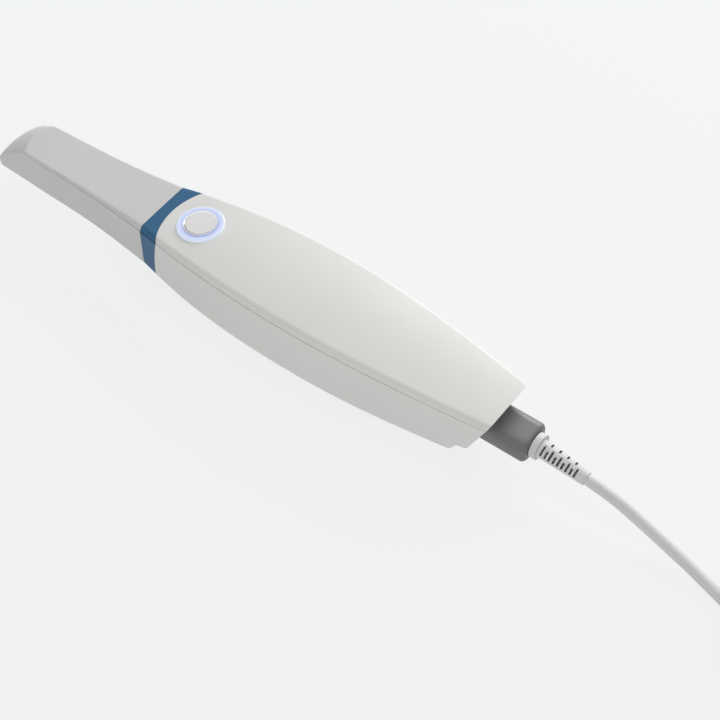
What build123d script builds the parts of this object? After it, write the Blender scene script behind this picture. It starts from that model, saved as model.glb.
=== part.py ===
"""Handheld intraoral scanner: a wand with a sleeve tip, a collar, a lit round button
and a lead that plugs into its tail.

X runs along the wand from the tip towards the lead, Y across it and Z up. The origin
is under the middle of the wand, on the surface that it lies on. Sizes are millimetres.
"""

import os
from dataclasses import astuple, dataclass
from math import atan, cos, degrees, pi, radians, sin, sqrt, tan

from build123d import *

os.makedirs("parts", exist_ok=True)


@dataclass
class Cross:
    """The sizes of one cross-section of the wand."""

    half: float  # half width at the crease
    crease: float  # height of the crease along the side
    roll: float  # radius of the rolled edge above the crease
    arch: float  # rise of the crown over its edges
    ledge: float  # how far the side stands out at the crease
    draft: float  # how far the side leans in towards the underside
    belly: float  # height of the underside
    edge: float  # radius of the lower edges


# The wand and its four main cross-sections
WAND_LENGTH = 225.7
TIP_SHARE = 0.3323
WIDEST_SHARE = 0.3177
TIP_FRONT = Cross(8.2, 26.4, 1.0, 0.02, 0.02, 0.0, 10.4, 2.0)
COLLAR = Cross(12.9, 27.5, 1.8, 0.1, 0.4, 0.2, 7.2, 4.5)
WIDEST = Cross(19.8, 29.8, 2.5, 1.4, 0.35, 1.5, -0.8, 10.5)
TAIL = Cross(12.1, 27.0, 2.2, 0.6, 0.15, 1.5, 1.6, 10.0)
ROLL_LIFT = 0.1
FRONT_BOW = 2.15
BELLY_BOW = 3.0
TAIL_BOW = 1.7

# Tip sleeve
TIP_TAPER_HALF = 11.2
FLARE_LENGTH = 31.0
FLARE_BOW = 1.3
CREASE_BOW = 1.5
SNOUT_BOW = 2.05
SNOUT_RADIUS = 27.0
SNOUT_CORNER = 3.0
SLOPE_LENGTH = 14.55
SLOPE_FOOT = 14.0
SLOPE_SAGITTA = 1.4
SLOPE_ROUNDING = 3.0
SLEEVE_FROM_FRONT = 17.0
SNOUT_STEP = 0.03
TIP_WALL = 1.4
MIRROR_SIZE = (12.6, 17.0, 1.0)
MIRROR_FROM_FRONT = 12.0
MIRROR_HEIGHT = 18.8
WINDOW_SIZE = (13.0, 12.0)
WINDOW_CORNER = 2.0

# Collar and body walls
COLLAR_AT_TOP = 4.7
COLLAR_AT_SIDE = 8.8
COLLAR_AT_BELLY = 6.4
COLLAR_SAGITTA = 0.7
WALL = 2.0
PIECE_FIT = 0.05

# Tail
REAR_SLANT = 25.0
TAIL_UNDERSIDE = 12.0
NOTCH_FROM_TAIL = 11.9
NOTCH_SLOPE = 58.0
TAIL_ROUNDING = 2.0

# Button and light ring
BUTTON_FROM_COLLAR = 18.0
LIGHT_RING_DIAMETER = 17.6
LIGHT_RING_PROUD = 0.6
LIGHT_RING_DEPTH = 6.0
LIGHT_RING_INNER_EDGE = 0.3
LIGHT_RING_OUTER_EDGE = 0.55
BUTTON_DIAMETER = 12.4
BUTTON_PROUD = 0.9
BUTTON_TRAVEL = 0.6
BUTTON_CLEARANCE = 0.2
BUTTON_SHOULDER = 1.2
RIM_WIDTH = 0.7
RIM_FLANGE = 0.6
RIM_FLANGE_THICKNESS = 1.0
RIM_BEVEL = 0.45
BUTTON_BOARD_DEPTH = 7.0
BUTTON_BOARD_THICKNESS = 1.2
BUTTON_BOARD_RIM = 5.0
BUTTON_BOARD_CORNER = 2.0
POST_DIAMETER = 3.2
POST_FROM_RING = 2.0
POST_ROW_SHARE = 0.65
SWITCH_SIZE = (6.0, 6.0, 2.8)
PLUNGER_DIAMETER = 3.2
PLUNGER_CLEARANCE = 0.1
PLUNGER_INSIDE_SWITCH = 0.8
PLUNGER_SPARE = 0.3
STEM_WALL = 0.6
LED_COUNT = 8
LED_SIZE = (1.2, 1.6)

# Optical nose and what looks through it
NOSE_SIZE = (15.0, 14.0)
NOSE_CENTRE_Z = 19.1
NOSE_LENGTH = 38.0
NOSE_WALL = 1.1
NOSE_TUBE_CORNER = 2.5
BULKHEAD = 3.0
BULKHEAD_FROM_COLLAR = 1.0
FRONT_WINDOW_THICKNESS = 1.2
SEAL_WIDTH = 1.2
SEAL_PROUD = 0.4
CLIP_FROM_COLLAR = 18.0
CLIP_BOW_LENGTH = 8.0
CLIP_FOOT_LENGTH = 3.0
CLIP_HEIGHT = 4.0
CLIP_THICKNESS = 0.35
CLIP_CLEARANCE = 0.2
LENS_SPACING = 11.0
LENS_AXIS_Z = 16.0
BARREL_DIAMETER = 9.4
BARREL_LENGTH = 22.0
LENS_DIAMETER = 7.0
LENS_FROM_FRONT = 1.5
LENS_THICKNESS = 2.2
LENS_BOARD_SIZE = (10.4, 12.0, 1.2)
FLEX_SIZE = (7.0, 0.3)
FLEX_UNDER_AXIS = 3.0
FLEX_BENDS = (6.0, 9.0)
FLEX_BEND_RADIUS = 1.2
FLEX_ON_BOARD = 3.0
BENCH_FROM_COLLAR = 20.0
BENCH_THICKNESS = 8.0
BENCH_WIDTH = 24.0
BENCH_ABOVE_BARREL = 1.0
BENCH_FOOT_Z = 7.0
BENCH_FOOT_SIZE = (24.0, 20.0, 1.6)
RIB_SIZE = (30.0, 3.0)
RIB_SPACING = 16.0

# Electronics
BOARD_WIDTH = 21.0
BOARD_THICKNESS = 1.6
BOARD_FROM_TAIL = 13.5
BOARD_FROM_BENCH = 15.2
BOARD_CORNER = 2.0
BOARD_SCREW_INSETS = (6.0, 3.0)
BOARD_HOLE_DIAMETER = 1.8
BOSS_DIAMETER = 4.8
SCREW_DIAMETER = 1.6
SCREW_HEAD = (3.4, 1.2)
SCREW_IN_BOSS = 4.0
SCREW_HOLE_DEPTH = 5.0
PROCESSOR_SIZE = (17.0, 17.0, 1.6)
MEMORY_SIZE = (11.0, 7.0, 1.0)
MEMORY_FROM_SOCKET = 2.0
PROCESSOR_PLACE = 0.42
MEMORY_SPACING = 9.0
SOCKET_SIZE = (7.5, 9.2, 3.3)
SOCKET_WALL = 0.35
SOCKET_CORNER = 1.25
SOCKET_BACK = 0.8
SOCKET_FROM_CONNECTOR = 0.5
HEAT_SINK_SHARE = 0.41
HEAT_SINK_WIDTH = 18.0
HEAT_SINK_BASE = 2.0
FIN_COUNT = 7
FIN_HEIGHT = 5.0
FIN_THICKNESS = 1.0

# Lead: connector, strain relief, cable, coil and plug
CONNECTOR_SIZE = (14.6, 10.6)
CONNECTOR_CORNER = 4.0
CONNECTOR_ROUNDING = 1.8
CONNECTOR_Z = 16.7
CONNECTOR_START_FROM_TAIL = 12.0
CONNECTOR_END_FROM_TAIL = 11.1
CONNECTOR_CLEARANCE = 0.3
PLUG_CLEARANCE = 0.08
PLUG_LENGTH = 6.2
PLUG_WALL = 0.4
RELIEF_FLANGE = (9.4, 2.4)
RELIEF_DIAMETERS = (6.8, 5.1)
RELIEF_LENGTH = 18.6
RELIEF_DROOP = 8.0
RELIEF_FLANGE_EDGE = 0.6
RELIEF_END_EDGE = 0.35
RELIEF_SLOTS = 9
SLOT_PITCH = 1.65
SLOT_WIDTH = 0.75
SLOT_START = 1.2
SLOT_BRIDGES = (2.6, 3.8)
CABLE_DIAMETER = 4.2
LEAD_STRAIGHT = 10.0
COIL_FROM_TAIL = (119.05, 14.8)
COIL_DIAMETER = 48.0
COIL_COLUMNS = 3
COIL_LAYERS = 4
COIL_EDGE = 1.9
PLUG_TURNS = [(-0.993, 0.319), (-1.01, -0.337), (-0.532, -0.823), (0.16, -0.823)]
TIE_SIZE = (9.0, 0.8)
TIE_SLACK = 0.8
TIE_CORNER = 2.0
USB_BODY = (29.0, 15.6, 7.6)
USB_CORNER = 2.2
USB_ROUNDING = 1.5
USB_SHELL = (18.5, 12.0, 4.5)
USB_SHEET = 0.3
USB_TONGUE = (17.5, 1.9)

# Stations along the wand
TIP_LENGTH = WAND_LENGTH * TIP_SHARE
WIDEST_FROM_COLLAR = WAND_LENGTH * WIDEST_SHARE
FRONT_X = -WAND_LENGTH / 2
COLLAR_X = FRONT_X + TIP_LENGTH
WIDEST_X = COLLAR_X + WIDEST_FROM_COLLAR
TAIL_X = WAND_LENGTH / 2
SLEEVE_X = FRONT_X + SLEEVE_FROM_FRONT
MARGIN = 1.5
OVERLAP = 3.0
FAR = 60.0


def blend(start, end, share):
    """The cross-section that lies this share of the way from start to end."""
    return Cross(*(a + (b - a) * share for a, b in zip(astuple(start), astuple(end))))


def body_cross(x):
    """The cross-section of the body, bowed from the collar over its widest place to the tail."""
    if x < WIDEST_X:
        share = (WIDEST_X - x) / WIDEST_FROM_COLLAR
        cross = blend(WIDEST, COLLAR, share**FRONT_BOW)
        cross.belly = WIDEST.belly + (COLLAR.belly - WIDEST.belly) * share**BELLY_BOW
        return cross
    return blend(WIDEST, TAIL, ((x - WIDEST_X) / (TAIL_X - WIDEST_X)) ** TAIL_BOW)


def tip_cross(x):
    """The cross-section of the tip: a straight taper that flares out to the collar."""
    taper = (x - FRONT_X) / TIP_LENGTH
    flare = max(0.0, 1 - (COLLAR_X - x) / FLARE_LENGTH) ** FLARE_BOW
    cross = blend(TIP_FRONT, COLLAR, flare)
    cross.half = TIP_FRONT.half + (TIP_TAPER_HALF - TIP_FRONT.half) * taper
    cross.half += (COLLAR.half - TIP_TAPER_HALF) * flare
    cross.crease = TIP_FRONT.crease + (COLLAR.crease - TIP_FRONT.crease) * taper**CREASE_BOW
    sleeve = (x - SLEEVE_X) / (COLLAR_X - SLEEVE_X)
    cross.ledge = TIP_FRONT.ledge + (COLLAR.ledge - TIP_FRONT.ledge) * sleeve
    return cross


def crown_height(cross):
    """The height of the crown at the middle of a cross-section."""
    return cross.crease + cross.roll + ROLL_LIFT + cross.arch


def across(x):
    """The plane across the wand at x, with Y to its right and Z up."""
    return Plane(origin=(x, 0, 0), x_dir=(0, 1, 0), z_dir=(1, 0, 0))


def upper_section(x, cross):
    """The crowned upper part of a cross-section, reaching a little below the crease."""
    edge = cross.half - cross.ledge
    shoulder = cross.crease + cross.roll + ROLL_LIFT
    foot = cross.crease - OVERLAP
    with BuildSketch(across(x)) as section:
        with BuildLine():
            ThreePointArc((edge, shoulder), (0, shoulder + cross.arch), (-edge, shoulder))
            Polyline((-edge, shoulder), (-edge, foot), (edge, foot), (edge, shoulder))
        make_face()
        fillet(section.vertices().group_by(Axis.Y)[-1], cross.roll)
    return section.sketch


def lower_section(x, cross, lift):
    """The part of a cross-section under the crease, or up to lift above it."""
    lean = cross.draft / (cross.crease - cross.belly)
    top = cross.half + lean * lift
    foot = cross.half - cross.draft
    with BuildSketch(across(x)) as section:
        with BuildLine():
            corners = [(top, cross.crease + lift), (foot, cross.belly)]
            Polyline(*corners, *[(-y, z) for y, z in reversed(corners)], close=True)
        make_face()
        fillet(section.vertices().group_by(Axis.Y)[0], cross.edge)
    return section.sketch


def full_section(x, cross, inset, floor_inset):
    """A whole cross-section without its ledge, drawn in by a wall's thickness."""
    edge = cross.half - cross.ledge - inset
    shoulder = cross.crease + cross.roll + ROLL_LIFT - inset
    floor = cross.belly + floor_inset
    foot = edge - cross.draft
    with BuildSketch(across(x)) as section:
        with BuildLine():
            ThreePointArc((edge, shoulder), (0, shoulder + cross.arch), (-edge, shoulder))
            Polyline((-edge, shoulder), (-foot, floor), (foot, floor), (edge, shoulder))
        make_face()
        fillet(section.vertices().group_by(Axis.Y)[0], max(cross.edge - inset, 1.0))
        fillet(section.vertices().group_by(Axis.Y)[-1], cross.roll)
    return section.sketch


def steps(start, end, count):
    """Evenly spaced stations from start to end."""
    return [start + (end - start) * step / count for step in range(count + 1)]


# Forms that the shells are cut from
BODY_STATIONS = steps(COLLAR_X, TAIL_X + MARGIN, 7)
CAVITY_STATIONS = [COLLAR_X - MARGIN, *BODY_STATIONS]

upper_sections = [upper_section(x, body_cross(x)) for x in BODY_STATIONS]
with BuildPart() as upper_form:
    loft(upper_sections)

lower_sections = [lower_section(x, body_cross(x), OVERLAP) for x in BODY_STATIONS]
with BuildPart() as lower_form:
    loft(lower_sections)

cavity_floor_inset = WALL - WIDEST.belly
cavity_sections = [full_section(x, body_cross(x), WALL, cavity_floor_inset) for x in CAVITY_STATIONS]

# Everything below the parting line between the two housings
with BuildPart() as below_parting:
    with BuildSketch(Plane.XZ):
        with BuildLine():
            stations = [COLLAR_X - MARGIN, *BODY_STATIONS, TAIL_X + 2 * MARGIN]
            parting = Spline(*[(x, body_cross(x).crease) for x in stations])
            Polyline(parting @ 1, (stations[-1], -FAR), (stations[0], -FAR), parting @ 0)
        make_face()
    extrude(amount=FAR, both=True)

# Everything in front of the body's bowed front edge
with BuildPart() as collar_zone:
    with BuildSketch(Plane.XY):
        with BuildLine():
            side_x = COLLAR_X + COLLAR_AT_SIDE
            chord = COLLAR.half + MARGIN
            bow = ThreePointArc((side_x, -chord), (COLLAR_X + COLLAR_AT_TOP, 0), (side_x, chord))
            front = COLLAR_X - MARGIN
            Polyline(bow @ 1, (side_x, FAR), (front, FAR), (front, -FAR), (side_x, -FAR), bow @ 0)
        make_face()
    extrude(amount=FAR)
    with BuildSketch(Plane.XZ) as collar_side:
        with BuildLine():
            belly_x = COLLAR_X + COLLAR_AT_BELLY
            crease_z = body_cross(side_x).crease
            sweep_back = SagittaArc((side_x, crease_z), (belly_x, COLLAR.belly), -COLLAR_SAGITTA)
            Polyline(sweep_back @ 1, (belly_x, 0), (front, 0), (front, FAR), (side_x, FAR), sweep_back @ 0)
        make_face()
    extrude(collar_side.sketch, amount=FAR, both=True, mode=Mode.INTERSECT)

# Everything behind the slanted rear face and under the overhanging tail
tail_crown = crown_height(TAIL)
rear_slant = radians(REAR_SLANT)
notch_slope = radians(NOTCH_SLOPE)


def tail_profile(wall):
    """The side view of what is cut off the tail, moved into the wand by a wall's thickness."""
    underside = TAIL_UNDERSIDE + wall
    notch_x = TAIL_X - NOTCH_FROM_TAIL - wall / sin(notch_slope) + wall / tan(notch_slope)
    rear_x = TAIL_X - (tail_crown - underside) * tan(rear_slant) - wall / cos(rear_slant)
    with BuildSketch(Plane.XZ) as profile:
        with BuildLine():
            Polyline(
                (notch_x - (underside + OVERLAP) / tan(notch_slope), -OVERLAP),
                (notch_x, underside),
                (rear_x, underside),
                (rear_x + (FAR - underside) * tan(rear_slant), FAR),
                (TAIL_X + FAR, FAR),
                (TAIL_X + FAR, -OVERLAP),
                close=True,
            )
        make_face()
        fillet(profile.vertices().group_by(Axis.Y)[1], TAIL_ROUNDING)
    return profile.sketch


outer_tail = tail_profile(0.0)
inner_tail = tail_profile(WALL)
with BuildPart() as tail_zone:
    extrude(outer_tail, amount=FAR, both=True)

with BuildPart() as tail_wall_zone:
    extrude(inner_tail, amount=FAR, both=True)

with BuildPart() as cavity:
    loft(cavity_sections)
    add(tail_wall_zone.part, mode=Mode.SUBTRACT)

# Where the button sits on the crown
BUTTON_X = COLLAR_X + BUTTON_FROM_COLLAR
button_z = crown_height(body_cross(BUTTON_X))
button_tilt = atan(crown_height(body_cross(BUTTON_X + 0.5)) - crown_height(body_cross(BUTTON_X - 0.5)))
button_up = (-sin(button_tilt), 0, cos(button_tilt))
button_plane = Plane(
    origin=(BUTTON_X, 0, button_z),
    x_dir=(cos(button_tilt), 0, sin(button_tilt)),
    z_dir=button_up,
)

finished = []


def finish(builder, name):
    """Label a finished piece and keep it for export."""
    builder.part.label = name
    finished.append(builder.part)


def disc(plane, start, end, outer, inner=0.0):
    """A round or ring-shaped piece on a plane, between two heights."""
    with BuildSketch(plane.offset(start)) as profile:
        Circle(outer)
        if inner:
            Circle(inner, mode=Mode.SUBTRACT)
    extrude(profile.sketch, amount=end - start)


# Upper housing, with the opening for the light ring and four posts for its board
ring_radius = LIGHT_RING_DIAMETER / 2
post_grid = (LIGHT_RING_DIAMETER + 2 * POST_FROM_RING, LIGHT_RING_DIAMETER * POST_ROW_SHARE)
with BuildPart() as button_posts:
    with BuildSketch(button_plane.offset(-BUTTON_BOARD_DEPTH)):
        with GridLocations(*post_grid, 2, 2):
            Circle(POST_DIAMETER / 2)
    extrude(amount=BUTTON_BOARD_DEPTH - WALL / 2)

with BuildPart() as upper_housing:
    add(upper_form.part)
    add(below_parting.part, mode=Mode.SUBTRACT)
    add(collar_zone.part, mode=Mode.SUBTRACT)
    add(tail_zone.part, mode=Mode.SUBTRACT)
    add(cavity.part, mode=Mode.SUBTRACT)
    add(button_posts.part)
    with BuildSketch(button_plane.offset(-LIGHT_RING_DEPTH)):
        Circle(ring_radius + PIECE_FIT)
    extrude(amount=2 * LIGHT_RING_DEPTH, mode=Mode.SUBTRACT)
finish(upper_housing, "upper_housing")

# Lower housing, with its flat sole, board bosses, bench ribs and connector opening
board_rear_x = TAIL_X - BOARD_FROM_TAIL
board_top = CONNECTOR_Z - SOCKET_SIZE[2] / 2
board_under = board_top - BOARD_THICKNESS
bench_x = COLLAR_X + BENCH_FROM_COLLAR
foot_x = bench_x + BENCH_FOOT_SIZE[0] / 2
board_front_x = bench_x + BENCH_FOOT_SIZE[0] + BOARD_FROM_BENCH
board_length = board_rear_x - board_front_x
board_x = (board_front_x + board_rear_x) / 2
screw_grid = (board_length - 2 * BOARD_SCREW_INSETS[0], BOARD_WIDTH - 2 * BOARD_SCREW_INSETS[1])
boss_plane = Plane(origin=(board_x, 0, WALL / 2))
connector_start_x = TAIL_X - CONNECTOR_START_FROM_TAIL
connector_end_x = TAIL_X + CONNECTOR_END_FROM_TAIL
with BuildPart() as lower_housing:
    add(lower_form.part)
    add(below_parting.part, mode=Mode.INTERSECT)
    add(collar_zone.part, mode=Mode.SUBTRACT)
    add(tail_zone.part, mode=Mode.SUBTRACT)
    add(cavity.part, mode=Mode.SUBTRACT)
    with BuildSketch(boss_plane):
        with GridLocations(*screw_grid, 2, 2):
            Circle(BOSS_DIAMETER / 2)
    extrude(amount=board_under - WALL / 2)
    with BuildSketch(Plane(origin=(foot_x, 0, WALL / 2))):
        with GridLocations(0, RIB_SPACING, 1, 2):
            Rectangle(*RIB_SIZE)
    extrude(amount=BENCH_FOOT_Z - WALL / 2)
    with BuildSketch(Plane(origin=(board_x, 0, board_under - SCREW_HOLE_DEPTH))):
        with GridLocations(*screw_grid, 2, 2):
            Circle(SCREW_DIAMETER / 2)
    extrude(amount=SCREW_HOLE_DEPTH, mode=Mode.SUBTRACT)
    with BuildSketch(across(connector_start_x)):
        with Locations((0, CONNECTOR_Z)):
            RectangleRounded(
                CONNECTOR_SIZE[0] + 2 * CONNECTOR_CLEARANCE,
                CONNECTOR_SIZE[1] + 2 * CONNECTOR_CLEARANCE,
                CONNECTOR_CORNER + CONNECTOR_CLEARANCE,
            )
    extrude(amount=FAR, mode=Mode.SUBTRACT)
    split(bisect_by=Plane.XY, keep=Keep.TOP)
finish(lower_housing, "lower_housing")

# Collar between the tip and the body
with BuildPart() as collar_ring:
    add(lower_form.part)
    add(below_parting.part, mode=Mode.INTERSECT)
    add(upper_form.part)
    add(collar_zone.part, mode=Mode.INTERSECT)
    add(cavity.part, mode=Mode.SUBTRACT)
finish(collar_ring, "collar_ring")

# Tip snout: its front bows in plan, and a rounded slope falls to it
TIP_STATIONS = steps(SLEEVE_X, COLLAR_X, 5)
snout_top = crown_height(tip_cross(SLEEVE_X)) - TIP_FRONT.arch - SNOUT_STEP
snout_belly = TIP_FRONT.belly + SNOUT_STEP
snout_half = TIP_FRONT.half - SNOUT_STEP
snout_end_x = SLEEVE_X + OVERLAP
snout_end_half = tip_cross(snout_end_x).half - SNOUT_STEP
bow_x = FRONT_X - SNOUT_BOW
bow_axis = Axis((bow_x + SNOUT_RADIUS, 0, 0), (0, 0, 1))
bow_corner_x = bow_x + SNOUT_RADIUS - sqrt(SNOUT_RADIUS**2 - snout_half**2)
slope_top = Vector(bow_x + SLOPE_LENGTH, snout_top)
slope_foot = Vector(bow_x, SLOPE_FOOT)
with BuildPart() as above_slope:
    with BuildSketch(Plane.XZ) as slope_profile:
        with BuildLine():
            slope = SagittaArc(slope_top, slope_foot, -SLOPE_SAGITTA)
            before_foot = slope @ 1 + slope % 1 * OVERLAP
            Polyline(
                slope_foot,
                before_foot,
                (before_foot.X, FAR),
                (bow_axis.position.X, FAR),
                (bow_axis.position.X, snout_top),
                slope_top,
            )
        make_face()
        fillet(slope_profile.vertices().sort_by_distance(slope_top)[0], SLOPE_ROUNDING)
    revolve(axis=bow_axis)

with BuildPart() as tip_snout:
    with BuildSketch(Plane.XY.offset(snout_belly)) as plan:
        with BuildLine():
            ThreePointArc((bow_corner_x, snout_half), (bow_x, 0), (bow_corner_x, -snout_half))
            Polyline(
                (bow_corner_x, -snout_half),
                (snout_end_x, -snout_end_half),
                (snout_end_x, snout_end_half),
                (bow_corner_x, snout_half),
            )
        make_face()
        fillet(plan.vertices().group_by(Axis.X)[0], SNOUT_CORNER)
    extrude(amount=snout_top + OVERLAP - snout_belly)
    fillet(tip_snout.edges().sort_by_distance((bow_x, 0, snout_belly))[0], TIP_FRONT.edge)
    add(above_slope.part, mode=Mode.SUBTRACT)
    fillet(tip_snout.edges().sort_by_distance((bow_x, 0, SLOPE_FOOT))[0], TIP_FRONT.roll)

# Tip sleeve: upper and lower forms with the crease ledge between them
tip_upper_sections = [upper_section(x, tip_cross(x)) for x in TIP_STATIONS]
tip_lower_sections = [lower_section(x, tip_cross(x), 0.0) for x in TIP_STATIONS]
tip_cavity_stations = [FRONT_X + TIP_WALL * 2, *TIP_STATIONS, COLLAR_X + MARGIN]
tip_cavity_sections = [full_section(x, tip_cross(x), TIP_WALL, TIP_WALL) for x in tip_cavity_stations]
mirror_plane = Plane(
    origin=(FRONT_X + MIRROR_FROM_FRONT, 0, MIRROR_HEIGHT),
    x_dir=(0, 1, 0),
    z_dir=(1, 0, -1),
)
with BuildPart() as tip_cavity:
    loft(tip_cavity_sections)
    split(bisect_by=mirror_plane, keep=Keep.TOP)

with BuildPart() as tip_upper:
    loft(tip_upper_sections)

with BuildPart() as tip_shell:
    loft(tip_lower_sections)
    add(tip_upper.part)
    add(tip_snout.part)
    add(tip_cavity.part, mode=Mode.SUBTRACT)
    with BuildSketch(Plane(origin=(FRONT_X + MIRROR_FROM_FRONT, 0, 0))):
        RectangleRounded(*WINDOW_SIZE, WINDOW_CORNER)
    extrude(amount=TIP_FRONT.belly + 2 * TIP_WALL, mode=Mode.SUBTRACT)
finish(tip_shell, "tip_shell")

with BuildPart() as tip_mirror:
    with BuildSketch(mirror_plane):
        Rectangle(MIRROR_SIZE[0], MIRROR_SIZE[1])
    extrude(amount=MIRROR_SIZE[2])
finish(tip_mirror, "tip_mirror")

# Optical nose: a bulkhead in the collar with a square tube that the tip slides over
bulkhead_x = COLLAR_X + BULKHEAD_FROM_COLLAR
nose_x = COLLAR_X - NOSE_LENGTH
nose_reach = NOSE_LENGTH + BULKHEAD_FROM_COLLAR + BULKHEAD
nose_bore = (NOSE_SIZE[0] - 2 * NOSE_WALL, NOSE_SIZE[1] - 2 * NOSE_WALL)
bulkhead_section = full_section(
    bulkhead_x, body_cross(bulkhead_x), WALL + PIECE_FIT, cavity_floor_inset + PIECE_FIT
)
with BuildPart() as nose_tube:
    extrude(bulkhead_section, amount=BULKHEAD)
    with BuildSketch(across(nose_x)):
        with Locations((0, NOSE_CENTRE_Z)):
            RectangleRounded(*NOSE_SIZE, NOSE_TUBE_CORNER)
    extrude(amount=nose_reach)
    with BuildSketch(across(nose_x)):
        with Locations((0, NOSE_CENTRE_Z)):
            RectangleRounded(*nose_bore, NOSE_TUBE_CORNER - NOSE_WALL)
    extrude(amount=nose_reach, mode=Mode.SUBTRACT)
finish(nose_tube, "nose_tube")

with BuildPart() as front_window:
    with BuildSketch(across(nose_x)):
        with Locations((0, NOSE_CENTRE_Z)):
            RectangleRounded(*nose_bore, NOSE_TUBE_CORNER - NOSE_WALL)
    extrude(amount=FRONT_WINDOW_THICKNESS)
finish(front_window, "front_window")

with BuildPart() as nose_seal:
    with BuildSketch(across(COLLAR_X - SEAL_PROUD)):
        with Locations((0, NOSE_CENTRE_Z)):
            RectangleRounded(
                NOSE_SIZE[0] + 2 * SEAL_WIDTH,
                NOSE_SIZE[1] + 2 * SEAL_WIDTH,
                NOSE_TUBE_CORNER + SEAL_WIDTH,
            )
            RectangleRounded(*NOSE_SIZE, NOSE_TUBE_CORNER, mode=Mode.SUBTRACT)
    extrude(amount=SEAL_PROUD + BULKHEAD_FROM_COLLAR)
finish(nose_seal, "nose_seal")

# Leaf springs on both sides of the nose that hold the tip
clip_x = COLLAR_X - CLIP_FROM_COLLAR
clip_rise = tip_cross(clip_x).half - tip_cross(clip_x).ledge - TIP_WALL - CLIP_THICKNESS - CLIP_CLEARANCE
bow_end = CLIP_BOW_LENGTH / 2
foot_end = bow_end + CLIP_FOOT_LENGTH
for side, name in ((1, "tip_clip_left"), (-1, "tip_clip_right")):
    inner = side * NOSE_SIZE[0] / 2
    outer = inner + side * CLIP_THICKNESS
    with BuildPart() as tip_clip:
        with BuildSketch(Plane(origin=(clip_x, 0, NOSE_CENTRE_Z - CLIP_HEIGHT / 2))):
            with BuildLine():
                Polyline((-bow_end, outer), (-foot_end, outer), (-foot_end, inner), (-bow_end, inner))
                ThreePointArc((-bow_end, inner), (0, side * clip_rise), (bow_end, inner))
                Polyline((bow_end, inner), (foot_end, inner), (foot_end, outer), (bow_end, outer))
                ThreePointArc((bow_end, outer), (0, side * (clip_rise + CLIP_THICKNESS)), (-bow_end, outer))
            make_face()
        extrude(amount=CLIP_HEIGHT)
    finish(tip_clip, name)

# Optical bench with a camera and a pattern projector side by side
barrel_start_x = bench_x - (BARREL_LENGTH - BENCH_THICKNESS) / 2
barrel_end_x = barrel_start_x + BARREL_LENGTH
flex_z = board_top + FLEX_SIZE[1] / 2
bench_top = LENS_AXIS_Z + BARREL_DIAMETER / 2 + BENCH_ABOVE_BARREL
with BuildPart() as optical_bench:
    with BuildSketch(across(bench_x)):
        with Locations((0, (BENCH_FOOT_Z + bench_top) / 2)):
            Rectangle(BENCH_WIDTH, bench_top - BENCH_FOOT_Z)
    extrude(amount=BENCH_THICKNESS)
    with BuildSketch(Plane(origin=(foot_x, 0, BENCH_FOOT_Z))):
        Rectangle(BENCH_FOOT_SIZE[0], BENCH_FOOT_SIZE[1])
    extrude(amount=BENCH_FOOT_SIZE[2])
    with BuildSketch(across(bench_x)):
        with Locations((0, LENS_AXIS_Z)):
            with GridLocations(LENS_SPACING, 0, 2, 1):
                Circle(BARREL_DIAMETER / 2 + PIECE_FIT)
    extrude(amount=BENCH_THICKNESS, mode=Mode.SUBTRACT)
finish(optical_bench, "optical_bench")

for side, name in ((-1, "camera"), (1, "projector")):
    axis_y = side * LENS_SPACING / 2
    lens_plane = Plane(origin=(barrel_start_x, axis_y, LENS_AXIS_Z), x_dir=(0, 1, 0), z_dir=(1, 0, 0))
    with BuildPart() as barrel:
        disc(lens_plane, 0, BARREL_LENGTH, BARREL_DIAMETER / 2, LENS_DIAMETER / 2)
    finish(barrel, f"{name}_barrel")
    with BuildPart() as lens:
        disc(lens_plane, LENS_FROM_FRONT, LENS_FROM_FRONT + LENS_THICKNESS, LENS_DIAMETER / 2)
    finish(lens, f"{name}_lens")
    with BuildPart() as lens_board:
        with BuildSketch(lens_plane.offset(BARREL_LENGTH)):
            Rectangle(LENS_BOARD_SIZE[0], LENS_BOARD_SIZE[1])
        extrude(amount=LENS_BOARD_SIZE[2])
    finish(lens_board, f"{name}_board")
    with BuildPart() as flex:
        with BuildSketch(Plane(origin=(0, axis_y, 0), x_dir=(1, 0, 0), z_dir=(0, -1, 0))):
            with BuildLine():
                FilletPolyline(
                    (barrel_end_x + LENS_BOARD_SIZE[2], LENS_AXIS_Z - FLEX_UNDER_AXIS),
                    (barrel_end_x + FLEX_BENDS[0], LENS_AXIS_Z - FLEX_UNDER_AXIS),
                    (barrel_end_x + FLEX_BENDS[1], flex_z),
                    (board_front_x + FLEX_ON_BOARD, flex_z),
                    radius=FLEX_BEND_RADIUS,
                )
            trace(line_width=FLEX_SIZE[1])
        extrude(amount=FLEX_SIZE[0] / 2, both=True)
    finish(flex, f"{name}_flex")

# Light ring, button and switch
button_radius = BUTTON_DIAMETER / 2
bore_radius = button_radius + BUTTON_CLEARANCE
flange_radius = button_radius + RIM_FLANGE
with BuildPart() as light_ring:
    disc(button_plane, -LIGHT_RING_DEPTH, LIGHT_RING_PROUD, ring_radius, bore_radius)
    fillet(light_ring.edges().filter_by(GeomType.CIRCLE).sort_by(Axis.Z)[-1], LIGHT_RING_INNER_EDGE)
    fillet(light_ring.edges().filter_by(GeomType.CIRCLE).sort_by(SortBy.RADIUS)[-1], LIGHT_RING_OUTER_EDGE)
    with BuildSketch(button_plane.offset(-LIGHT_RING_DEPTH)):
        Circle(flange_radius + BUTTON_CLEARANCE)
    extrude(amount=LIGHT_RING_DEPTH - BUTTON_SHOULDER, mode=Mode.SUBTRACT)
finish(light_ring, "light_ring")

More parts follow.
